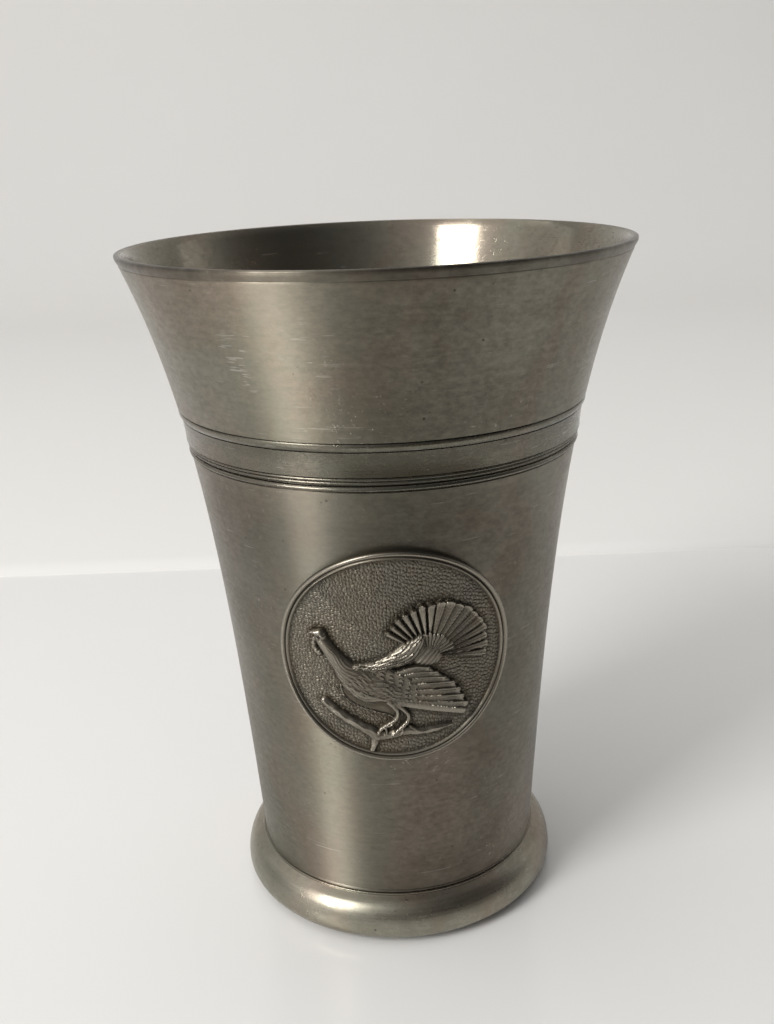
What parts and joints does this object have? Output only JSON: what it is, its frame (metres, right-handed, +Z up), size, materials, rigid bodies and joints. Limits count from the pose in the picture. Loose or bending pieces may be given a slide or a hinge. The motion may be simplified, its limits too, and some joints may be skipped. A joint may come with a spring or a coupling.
{
  "type": "pewter beaker",
  "caption": "Flared pewter beaker with a moulded waist, a rounded foot ring and a round relief medallion of a displaying grouse.",
  "frame": {"origin": "on the table under the beaker's axis, in the plane of the foot ring's underside", "axes": "+Z up along the beaker's axis; the medallion faces -Y; +X to the right as the medallion is seen"},
  "size_m": [0.094, 0.094, 0.13],
  "materials": {
    "pewter_body": "satin, turned, lightly tarnished pewter",
    "pewter_band": "satin turned pewter, dark in the grooves",
    "pewter_foot": "semi-bright worn pewter",
    "pewter_medallion": "cast pewter relief, dark patina in the hollows, worn bright on the ridges",
    "solder": "dull tin solder"
  },
  "bodies": {
    "root": {"mouth_section": "pewter_body", "waist_band": "pewter_band", "lower_body": "pewter_body", "foot_ring": "pewter_foot", "base_plate": "pewter_body", "medallion": "pewter_medallion", "waist_solder_upper": "solder", "waist_solder_lower": "solder", "foot_solder": "solder", "base_solder": "solder", "medallion_solder": "solder"}
  },
  "joints": []
}
